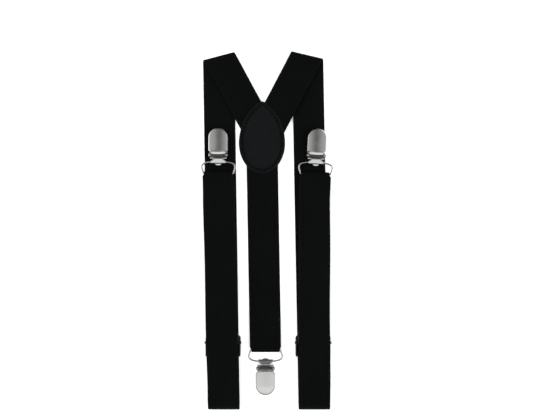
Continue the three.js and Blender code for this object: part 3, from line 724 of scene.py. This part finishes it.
def back_strap():
    edge = PATCH_Y - PATCH_DEPTH
    top_z = SIDES["left"]["patch_z"]
    bar, sewn = BACK_BAR_Y, BACK_BAR_Y + BACK_SEWN_LENGTH
    over_z = FLOOR_Z + LAYER
    bar_top = BACK_BAR_Z + BAR_FOLD_RADIUS
    settle_from, settle_to = edge - 2, edge - 15  # down from the patch to the surface
    climb = 14  # up over its own sewn end, and again up to the bar
    path = join(
        line((BACK_TOP_Y, top_z), (settle_from, top_z)),
        ramp((settle_from, top_z), (settle_to, FLOOR_Z), 6, 10),
        line((settle_to, FLOOR_Z), (sewn + climb, FLOOR_Z)),
        ramp((sewn + climb, FLOOR_Z), (sewn, over_z), 8, 12),
        line((sewn, over_z), (bar + climb, over_z)),
        ramp((bar + climb, over_z), (bar, bar_top), 7, 28),
        arc((bar, BACK_BAR_Z), BAR_FOLD_RADIUS, 0.25, 0.75, 16),
        line((bar, FLOOR_Z), (bar + GATHER_START, FLOOR_Z), 0.4),
        line((bar + GATHER_START, FLOOR_Z), (sewn, FLOOR_Z)),
    )
    along = directions(path)
    y = path[:, 0]
    x = BACK_BAR_X + (BACK_X - BACK_BAR_X) * (y - bar) / (BACK_TOP_Y - bar)
    on_top = path[:, 1] > BACK_BAR_Z
    width = width_at(bar - y - FACE_GATHER_LATER * on_top)
    return webbing_piece(
        "back_webbing", columns(x, y, path[:, 1]), columns(width / 2, 0, 0),
        columns(0, along[:, 0], along[:, 1]), "root", "back_strap",
    )


# ---------- stitching ----------

def stitches(points, pitch, length, radius=0.21, dip=0.3):
    """Thread along a line: each stitch is a short bowed rod whose ends go down into the work."""
    distance = travelled(points)
    count = int(distance[-1] // pitch)
    share = np.linspace(-1, 1, 8)
    proud, taper = 0.75, 0.35
    size = radius * (1 - taper * share ** 6)
    shapes = []
    for k in range(count):
        where = np.linspace(0, length, 8) + k * distance[-1] / count
        middle = columns(*(np.interp(where, distance, points[:, i]) for i in range(3)))
        middle[:, 2] += radius * proud - dip * share ** 4
        along = directions(middle)
        side = unit(np.cross([0.0, 0, 1], along))
        shapes.append(loft(tube_rings(middle, side, np.cross(along, side), size, 8)))
    return combine(*shapes)


def stitch_rows(name, centre_x, rows_y, top_z, half_length, body):
    """Straight seams across a strap, in the drawing frame."""
    rows = []
    for i, y in enumerate(rows_y):
        points = line((centre_x - half_length, y, top_z), (centre_x + half_length, y, top_z), 1.0)
        shape = stitches(points + SHIFT, pitch=2.6, length=2.0)
        rows.append(make_piece(f"{name}_{i}", shape, THREAD, body))
    return rows


# ---------- patch ----------

def patch_ring(inset):
    """The patch's outline moved inwards, as points that match from one inset to another."""
    arch_x = PATCH_ARCH_RADIUS - PATCH_HALF_WIDTH
    arch = PATCH_ARCH_RADIUS - inset
    tip = max(PATCH_TIP_RADIUS - inset, 0.4)
    tip_y = math.sqrt((arch - tip) ** 2 - arch_x ** 2)
    angle = math.atan2(tip_y, arch_x)
    low, right, top, left = (np.arange(n) / n for n in PATCH_OUTLINE_COUNTS)
    parts = [
        (0, 0, PATCH_HALF_WIDTH - inset, PATCH_DEPTH - inset, np.pi * (1 + low)),
        (-arch_x, 0, arch, arch, angle * right),
        (0, tip_y, tip, tip, angle + (np.pi - 2 * angle) * top),
        (arch_x, 0, arch, arch, np.pi - angle * (1 - left)),
    ]
    x = np.concatenate([centre + width * np.cos(turn) for centre, _, width, _, turn in parts])
    y = np.concatenate([centre + depth * np.sin(turn) for _, centre, _, depth, turn in parts])
    return columns(x + PATCH_X, y + PATCH_Y)


class StrapRelief:
    """The height that leather takes when it is pressed down over the strap ends, on a fine grid."""
    STEP = 0.5
    REACH = 34
    RADIUS = 1.6  # of the blur
    MARGIN = 0.8  # the leather bridges this far past a strap's edge
    CLEAR = 0.1

    def __init__(self):
        size = int(2 * self.REACH / self.STEP) + 1
        offsets = np.linspace(-self.REACH, self.REACH, size)
        self.x, self.y = np.meshgrid(PATCH_X + offsets, PATCH_Y + offsets, indexing="ij")
        height = np.full(self.x.shape, PATCH_LEATHER + self.CLEAR)
        half_width = STRAP_WIDTH / 2 + self.MARGIN
        for side in SIDES.values():
            _, turn, half, at = top_fold(side)
            origin = at(np.array([turn + BRANCH_LENGTH]))[0]
            ahead = at(np.array([turn]))[0] - origin
            matrix = np.column_stack([half[:2], ahead[:2]])
            plan = np.stack([self.x - origin[0], self.y - origin[1]], axis=-1)
            across, along = np.moveaxis(plan @ np.linalg.inv(matrix).T, -1, 0)
            inside = (np.abs(across) * STRAP_WIDTH / 2 < half_width) & (along > -0.02)
            height[inside] = np.maximum(height, self.over(side))[inside]
        inside = (np.abs(self.x - BACK_X) < half_width) & (self.y < BACK_TOP_Y + self.MARGIN)
        height[inside] = np.maximum(height, self.over(SIDES["left"]))[inside]
        self.height = self.blurred(height)

    def over(self, side):
        return side["patch_z"] + STRAP_THICKNESS / 2 + self.CLEAR

    def blurred(self, height):
        reach = int(3 * self.RADIUS / self.STEP)
        offsets = np.arange(-reach, reach + 1) * self.STEP
        weights = np.exp(-(offsets / self.RADIUS) ** 2 / 2)
        weights /= weights.sum()
        for axis in (0, 1):
            padded = np.pad(height, [(reach, reach) if a == axis else (0, 0) for a in (0, 1)], mode="edge")
            places = np.arange(height.shape[axis])
            height = sum(w * np.take(padded, places + i, axis=axis) for i, w in enumerate(weights))
        return height

    def at(self, points):
        u = np.clip((points[:, 0] - PATCH_X + self.REACH) / self.STEP, 0, self.height.shape[0] - 1.001)
        v = np.clip((points[:, 1] - PATCH_Y + self.REACH) / self.STEP, 0, self.height.shape[1] - 1.001)
        i, j = u.astype(int), v.astype(int)
        a, b = u - i, v - j
        h = self.height
        return (h[i, j] * (1 - a) * (1 - b) + h[i + 1, j] * a * (1 - b)
                + h[i, j + 1] * (1 - a) * b + h[i + 1, j + 1] * a * b)


# Rings of the leather's rim, closer together round the seam's channel
PATCH_TOP_INSETS = [
    0, 0.12, 0.3, 0.55, 0.9, 1.3, 1.7, 2.0, 2.25, 2.45, 2.6, 2.7, 2.8, 2.95, 3.15, 3.4, 3.8, 4.4,
]


def leather_profile(inset):
    """Height of the leather's face over its plain level: a rounded edge, a full rim and a sewn channel."""
    edge = -0.5 * (1 - np.sqrt(np.clip(1 - (1 - inset / 0.9) ** 2, 0, 1))) if inset < 0.9 else 0
    rim = 0.1 * math.exp(-((inset - 1.4) / 0.6) ** 2)
    channel = -0.14 * math.exp(-((inset - PATCH_SEAM) / 0.3) ** 2)
    field = 0.2 * float(smooth(PATCH_SEAM, 9, inset))
    return edge + rim + channel + field


def inner_rings(ring, count):
    """Smaller copies of a ring towards its middle."""
    centre = np.array([PATCH_X, PATCH_Y - 1])
    return [centre + (ring - centre) * s for s in np.linspace(1, 0.04, count + 1)[1:]]


def patch_front():
    """The front leather and its stitching."""
    relief = StrapRelief()
    plateau = relief.over(SIDES["right"])
    clear = 0.03

    def lifted(ring, extra, inset):
        """The leather follows the straps at its rim, and lies over them in one smooth dome inside."""
        share = float(smooth(1.5, 7, inset))
        return np.column_stack([ring, relief.at(ring) * (1 - share) + plateau * share + extra])

    rim = [(patch_ring(inset), inset) for inset in PATCH_TOP_INSETS]
    inside = list(zip(inner_rings(rim[-1][0], 22), np.linspace(PATCH_TOP_INSETS[-1], 14, 22)))
    face = [(ring, PATCH_LEATHER + leather_profile(inset), inset) for ring, inset in rim + inside]
    low_edge = [(patch_ring(0), PATCH_LEATHER * 0.3, 0)]
    under = [(patch_ring(inset), clear, inset) for inset in (0.0, 0.2, 1.5, 2.6, 3.5, 4.4)]
    under += [(ring, clear, inset) for ring, inset in inside]
    layers = face[::-1] + low_edge + under
    rings = np.array([lifted(*layer) for layer in layers])
    insets = np.repeat([inset for *_, inset in layers], rings.shape[1])
    leather = make_piece(
        "patch_front_leather", loft(rings + SHIFT), LEATHER, "root", "patch_front",
        columns(insets, 0), 60,
    )

    seam = patch_ring(PATCH_SEAM)
    seam = np.vstack([seam, seam[:1]])
    points = lifted(seam, PATCH_LEATHER + leather_profile(PATCH_SEAM), PATCH_SEAM) + SHIFT
    shape = stitches(points, pitch=3.4, length=2.0, radius=0.36, dip=0.5)
    thread = make_piece("patch_stitching", shape, THREAD, "root")
    return leather, thread


def patch_back():
    edge, last = 0.3, 4.4
    top = PATCH_LEATHER
    levels = [(last, 0), (edge, 0), (0, edge), (0, top - edge), (edge, top), (last, top)]
    inside = inner_rings(patch_ring(last), 6)
    rings = [level_ring(ring, 0) for ring in inside[::-1]]
    rings += [level_ring(patch_ring(inset), z) for inset, z in levels]
    rings += [level_ring(ring, top) for ring in inside]
    return make_piece(
        "patch_back_leather", loft(np.array(rings) + SHIFT), LEATHER, "root", "patch_back",
        sharp_degrees=60,
    )


# ---------- clips ----------

def clip_frame(name):
    """Where a clip's own frame lies: the middle of its bail's wire, and the turn about Z."""
    joint = JOINTS[f"{name}_tilt"]
    angle = math.atan2(joint["axis"][1], joint["axis"][0])
    cos, sin = math.cos(angle), math.sin(angle)
    return np.array(joint["pos_m"]) / MM, np.array([[cos, sin, 0], [-sin, cos, 0], [0, 0, 1]])


def bail_shape():
    """The oval wire loop, its bar along the strap's fold and its wire through the clip's hook."""
    bar_end, side_low, side_high, wire_end = (10.5, 0), (12.1, 1.4), (9.4, 8.9), (5.2, BAR_TO_WIRE)
    half = join(
        line((0, 0), bar_end, 1.0),
        quadratic(bar_end, (11.8, 0), side_low, 12),
        bezier(side_low, (12.5, 3), (15.6, 7.6), side_high, 30),
        quadratic(side_high, (6.5, BAR_TO_WIRE), wire_end, 10),
        line(wire_end, (0, BAR_TO_WIRE), 1.0),
    )
    other = half[1:-1][::-1] * [-1, 1]
    path = np.vstack([half, other]) - [0, BAR_TO_WIRE]
    along = unit(np.roll(path, -1, axis=0) - np.roll(path, 1, axis=0))
    sides = columns(-along[:, 1], along[:, 0], 0)
    ups = np.tile([0.0, 0, 1], (len(path), 1))
    return loft(tube_rings(level_ring(path, 0), sides, ups, np.full(len(path), WIRE_RADIUS), 16), closed=True)


def sheet_section(half_width, thickness, count, corner=0.16):
    """The closed outline across a pressed sheet, with its edges broken."""
    half = thickness / 2
    flat = half_width - corner
    top = [(x, half) for x in np.linspace(-flat, flat, count)]
    bend = [(flat + corner * math.sin(a), half - corner * (1 - math.cos(a))) for a in np.radians([45, 90])]
    right = bend + [(x, -z) for x, z in reversed(bend)]
    bottom = [(-x, -z) for x, z in top]
    return np.array(top + right + bottom + [(-x, -z) for x, z in right])


def sheet_strip(path, half_widths, thickness, crown=None, count=9):
    """A pressed sheet along a path in Y and Z, with its own half width and crown at each point."""
    along = directions(path)
    rings = []
    for i, (y, z) in enumerate(path):
        section = sheet_section(half_widths[i], thickness, count)
        normal = np.array([0, -along[i][1], along[i][0]])
        sag = 0 if crown is None else crown[i]
        offset = section[:, 1] - sag * section[:, 0] ** 2
        rings.append(section[:, :1] * [1, 0, 0] + [0, y, z] + offset[:, None] * normal)
    return loft(rings)


def cover_outline(inset):
    """The cover's round-ended outline moved inwards, with matching points."""
    width = COVER_HALF_WIDTH - inset
    corner = max(COVER_CORNER - inset, 0.15)
    flat = width - corner
    low = COVER_LOW_Y + inset
    corner_y = low + corner
    tip, left, left_bend, base, right_bend, right = (np.arange(n) / n for n in COVER_OUTLINE_COUNTS)
    tip, left_bend, right_bend = np.pi * tip, np.pi / 2 * left_bend, np.pi / 2 * right_bend
    parts = [
        (width * np.cos(tip), COVER_CENTRE_Y + width * np.sin(tip)),
        (np.full(len(left), -width), COVER_CENTRE_Y + (corner_y - COVER_CENTRE_Y) * left),
        (-flat - corner * np.cos(left_bend), corner_y - corner * np.sin(left_bend)),
        (-flat + 2 * flat * base, np.full(len(base), low)),
        (flat + corner * np.sin(right_bend), corner_y - corner * np.cos(right_bend)),
        (np.full(len(right), width), corner_y + (COVER_CENTRE_Y - corner_y) * right),
    ]
    return np.hstack([np.vstack(part) for part in parts]).T


def dome(ring):
    """Height of the outer face of the crown."""
    beyond = np.hypot(ring[:, 0], ring[:, 1] - COVER_CENTRE_Y)
    off_axis = np.where(ring[:, 1] > COVER_CENTRE_Y, beyond, np.abs(ring[:, 0]))
    return COVER_CROWN_Z - COVER_CROWN_SAG * off_axis ** 2


def openness(ring):
    """1 where the cover runs on into its knuckle, 0 where it is drawn down into a skirt."""
    across = smooth(KNUCKLE_HALF_WIDTH + 0.7, KNUCKLE_HALF_WIDTH - 0.4, np.abs(ring[:, 0]))
    return across * smooth(COVER_LOW_Y + 4, COVER_LOW_Y + 2, ring[:, 1])


def shell_ring(inset, wall):
    """A ring of the cover's outer face, or of its inner one, a wall's thickness further in."""
    skirt_rise, shoulder = 0.5, 1.0
    ring = cover_outline(inset + wall)
    top, low = dome(ring) - wall, COVER_SKIRT_Z + skirt_rise
    from_edge = inset + shoulder * openness(ring)
    rise = np.sqrt(1 - (1 - np.minimum(from_edge / shoulder, 1)) ** 2)
    return np.column_stack([ring, low + rise * (top - low)])


def lip_ring(inset, raised):
    """A ring of the skirt's rounded edge, which runs up under the crown at the knuckle."""
    ring = cover_outline(inset)
    share = openness(ring)
    under = dome(ring) - COVER_SHEET
    return np.column_stack([ring, (COVER_SKIRT_Z + raised) * (1 - share) + under * share])


def knuckle_shape():
    """The strip that leaves the crown, falls to the hinge pin and is rolled round it."""
    mid_z = COVER_CROWN_Z - COVER_SHEET / 2 - 0.02
    radius = PIN_RADIUS + GAP + COVER_SHEET / 2
    ridge_y, shelf_slope, fall = 6.15, 0.15, math.radians(26)
    roll_end = 0.925
    ridge = (ridge_y, mid_z - shelf_slope * (COVER_LOW_Y - ridge_y))
    landing = (PIN_Y - radius * math.sin(fall), PIN_Z + radius * math.cos(fall))
    path = join(
        line((COVER_LOW_Y + 1.2, mid_z), (COVER_LOW_Y, mid_z), 0.4),
        line((COVER_LOW_Y, mid_z), ridge, 0.3),
        line(ridge, landing, 0.3),
        arc((PIN_Y, PIN_Z), radius, 0.25 + fall / (2 * math.pi), roll_end, 24),
    )
    crown = COVER_CROWN_SAG * smooth(PIN_Y - radius, COVER_LOW_Y, path[:, 0])
    return sheet_strip(path, np.full(len(path), KNUCKLE_HALF_WIDTH), COVER_SHEET, crown, 13)


def cover_shape():
    """The domed cover plate and its knuckle."""
    insets = [0, 0.02, 0.06, 0.13, 0.23, 0.36, 0.5, 0.66, 0.83, 1.0, 1.5, 2.2, 3.1, 4, 5, 6, 6.8, 7.1]
    outer = [shell_ring(inset, 0) for inset in insets]
    inner = [shell_ring(inset, COVER_SHEET) for inset in insets if inset + COVER_SHEET < 7.2]
    edge = [lip_ring(0, 0.15), lip_ring(COVER_SHEET / 2, 0), lip_ring(COVER_SHEET, 0.15)]
    return combine(loft(outer[::-1] + edge + inner), knuckle_shape())


def slab(outline, x_low, x_high, corner=0.12):
    """An outline in Y and Z as a plate across X, with its edges broken."""
    outline = np.asarray(outline, float)
    centre = outline.mean(axis=0)
    reach = np.abs(outline - centre).max()
    small = centre + (outline - centre) * (1 - corner / reach)
    levels = [(small, x_low), (outline, x_low + corner), (outline, x_high - corner), (small, x_high)]
    return loft([columns(x, points[:, 0], points[:, 1]) for points, x in levels])


def plate_half_width(y):
    round_end = math.sqrt(max(PLATE_HALF_WIDTH ** 2 - max(y - PLATE_TIP_CENTRE_Y, 0) ** 2, 0.16))
    body = np.interp(y, [1.6, 3.5, 7.4, 8.2], [NECK_HALF_WIDTH, EAR_OUTER, EAR_OUTER, PLATE_HALF_WIDTH])
    return min(float(body), round_end)


def base_sheet():
    """One sheet: flat under the pad, up a short wall, and over the bail's wire in a shouldered hook."""
    plate_z = PLATE_FLOOR + PLATE_SHEET / 2
    wall_y, bend = 3.0, 0.45
    hook_start, hook_end, hook_slope = 118 / 360, 290 / 360, 0.1
    foot = arc((0, 0), HOOK_RADIUS, hook_start, hook_start, 1)[0]
    head = (wall_y - bend, foot[1] + hook_slope * (wall_y - bend - foot[0]))
    path = join(
        [np.array([PLATE_TIP_CENTRE_Y + PLATE_HALF_WIDTH * math.sin(a), plate_z])
         for a in np.radians(np.linspace(88, 0, 16))],
        line((PLATE_TIP_CENTRE_Y, plate_z), (wall_y + 1, plate_z), 0.8),
        bezier(
            (wall_y + 1, plate_z), (wall_y + 0.1, plate_z), (wall_y, plate_z + 0.2), (wall_y, plate_z + 1), 8,
        ),
        bezier((wall_y, head[1] - 1), (wall_y, head[1] - 0.3), (wall_y, head[1]), head, 8),
        line(head, foot, 0.3),
        arc((0, 0), HOOK_RADIUS, hook_start, hook_end, 26),
    )
    widths = np.array([plate_half_width(y) for y, _ in path])
    raised = path[:, 1] > 0
    shoulders = np.interp(path[:, 0], [-0.5, 0.6, wall_y - bend, wall_y], [1.03, 1.03, 0.66, 0.7])
    widths[raised] = NECK_HALF_WIDTH * shoulders[raised]
    tuck = 15
    widths[-tuck:] = NECK_HALF_WIDTH * (1 - 0.3 * ease(np.linspace(0, 1, tuck)))
    return sheet_strip(path, widths, PLATE_SHEET)


def base_plate_shape():
    """The base plate with its two ears, the lip beyond its hook and the rivet that holds the spring."""
    ear = join(
        line((PIN_Y - EAR_RADIUS, PLATE_FLOOR + 0.1), (PIN_Y + EAR_RADIUS, PLATE_FLOOR + 0.1), 1.0),
        arc((PIN_Y, PIN_Z), EAR_RADIUS, 0, 0.5, 24),
    )
    ears = [slab(ear, EAR_INNER, EAR_OUTER), slab(ear, -EAR_OUTER, -EAR_INNER)]

    lip_path = join(bezier((-1.25, 0.62), (-1.7, 0.6), (-2.1, 0.5), (-2.6, 0.4), 8))
    lip_width = np.array([2.5 * math.sqrt(max(1 - t ** 4, 0.05)) for t in np.linspace(0, 1, len(lip_path))])
    lip = sheet_strip(lip_path, lip_width, 0.6)

    angles = circle(24)
    rivet = loft([
        columns(r * np.cos(angles), r * np.sin(angles) + RIVET_Y, z + RIVET_Z)
        for r, z in [(0.02, 0.34), (0.7, 0.3), (1.1, 0.14), (1.2, 0), (1.2, -0.5)]
    ])
    return combine(base_sheet(), *ears, lip, rivet)


def pin_shape():
    """The hinge pin along X, with a domed head on each end."""
    shank, head = EAR_OUTER + GAP, PIN_HEAD_RADIUS
    right = [(PIN_RADIUS, 0), (PIN_RADIUS, shank - 0.01), (head * 0.96, shank), (head, shank + 0.08)]
    right += [
        (head * math.cos(a), shank + (PIN_END_X - shank) * (0.35 + 0.65 * math.sin(a)))
        for a in np.radians([0, 20, 40, 60, 75, 88])
    ]
    profile = [(r, -x) for r, x in reversed(right[1:])] + right
    angles = circle(28)
    return loft([columns(x, PIN_Y + r * np.cos(angles), PIN_Z + r * np.sin(angles)) for r, x in profile])


def clip(name):
    origin, turn = clip_frame(name)
    side = name.split("_")[0]
    for piece, (vertices, faces), body, node in (
        ("wire_bail", bail_shape(), "bail", "bail"),
        ("pressed_base", base_plate_shape(), "clip", "base_plate"),
        ("pin", pin_shape(), "clip", "hinge_pin"),
        ("domed_cover", cover_shape(), "cover", "cover"),
    ):
        shape = (np.asarray(vertices) @ turn + origin, faces)
        make_piece(f"{name}_{piece}", shape, NICKEL, f"{side}_{body}", f"{name}_{node}")
    bevelled_node(f"{name}_grip_base", f"{name}_base_pad", PLASTIC, 0.08)
    bevelled_node(f"{name}_grip_cover", f"{name}_cover_pad", PLASTIC, 0.08)
    bevelled_node(f"{name}_leaf_spring", f"{name}_spring", SPRING_STEEL, 0.06)


# ---------- stage ----------

def make_stage_piece(name, vertices, faces, material):
    mesh = bpy.data.meshes.new(name)
    mesh.from_pydata(vertices, [], faces)
    mesh.materials.append(material)
    obj = add_object(name, mesh)
    return obj


def make_room():
    """A round pale table with a pale screen round it. The screen is not seen in the polished metal."""
    reach, height, count = 2.8, 3.0, 64
    table_z = -0.0003
    rim = [(reach * math.cos(a), reach * math.sin(a), table_z) for a in circle(count)]
    make_stage_piece("table", rim, [tuple(range(count))], table_material())
    top = [(x, y, height) for x, y, _ in rim]
    walls = [(i, (i + 1) % count, count + (i + 1) % count, count + i) for i in range(count)]
    screen = make_stage_piece("screen", rim + top, walls, screen_material())
    screen.visible_glossy = False
    screen.visible_diffuse = False
    screen.visible_shadow = False


def make_sky():
    """Soft studio surroundings for reflections: grey overhead, pale to the sides and towards the bottom
    folds, and dark near the horizon along the straps.
    """
    world = bpy.data.worlds.new("studio")
    bpy.context.scene.world = world
    n = Nodes(world)

    def span(value, low, high, to_low, to_high):
        return n.span(value, low, high, to_low, to_high, interpolation_type="SMOOTHSTEP")

    x, y, z = n.add("SeparateXYZ", {0: n.add("TexCoord").outputs["Generated"]}).outputs
    sides = span(n.math("ABSOLUTE", x), 0.02, 0.3, 0.175, 0.48)
    near = span(y, -0.12, -0.07, 1.0, 0.0)
    ceiling = n.mix(near, sides, 1.03)
    horizon = span(n.math("ABSOLUTE", y), 0.25, 0.55, 0.85, 0.08)
    level = n.mix(span(z, 0.80, 0.93, 0.0, 1.0), horizon, ceiling)
    n.feed(n.tree.nodes["Background"], {"Strength": level, "Color": (1, 1, 1, 1)})


def make_light(name, location, size, power):
    """A large soft box that lights the work and the table without showing in the polished metal."""
    data = bpy.data.lights.new(name, "AREA")
    data.shape, data.size, data.energy = "SQUARE", size, power
    obj = add_object(name, data)
    obj.visible_glossy = False
    obj.location = location
    aim = -obj.location.normalized()
    obj.rotation_mode = "QUATERNION"
    obj.rotation_quaternion = aim.to_track_quat("-Z", "Y")


def make_camera():
    """Straight above, framed a little to the right of the object and towards its top folds."""
    data = bpy.data.cameras.new("camera")
    data.lens, data.sensor_width = 85, 36
    field_width = 0.4445
    centre_x, centre_y = 0.01025, 0.01597
    object_middle_z = CAD_BOX[1][2] / 2
    obj = add_object("camera", data)
    obj.location = (centre_x, centre_y, object_middle_z + field_width * data.lens / data.sensor_width)
    bpy.context.scene.camera = obj


# ---------- assembly ----------

make_camera()
make_room()
make_sky()
make_light("key", (-0.7, 0.5, 1.2), 1.3, 22)
make_light("fill", (0.9, -0.4, 1.1), 1.3, 18)
bpy.context.scene.view_settings.view_transform = "Standard"

front_leather, patch_thread = patch_front()
back_leather = patch_back()

for side_name, side_facts in SIDES.items():
    strap, strap_length = front_strap(side_name, side_facts)
    tail, tail_length, tail_end = strap_tail(side_name, side_facts)
    seams_y = tail_end[1] + np.array([2.5, 8])
    seams = stitch_rows(
        f"{side_name}_tail_stitching", tail_end[0], seams_y, tail_end[2] + STRAP_THICKNESS / 2, 11,
        f"{side_name}_adjuster",
    )

strap, strap_length = back_strap()
seams_y = BACK_BAR_Y + np.array([15.5, 19.5])
seams = stitch_rows(
    "back_stitching", BACK_BAR_X, seams_y, FLOOR_Z + LAYER + STRAP_THICKNESS / 2, 11.2, "root",
)

for clip_name in ("left_clip", "right_clip", "back_clip"):
    clip(clip_name)

for side_name in SIDES:
    bevelled_node(f"{side_name}_slider_frame", f"{side_name}_adjuster_frame", ENAMEL, 0.14)
    bevelled_node(f"{side_name}_slider_lever", f"{side_name}_adjuster_lever", ENAMEL, 0.1)
    bevelled_node(f"{side_name}_slider_pin", f"{side_name}_adjuster_pin", ENAMEL, 0.08)

bpy.context.view_layer.update()
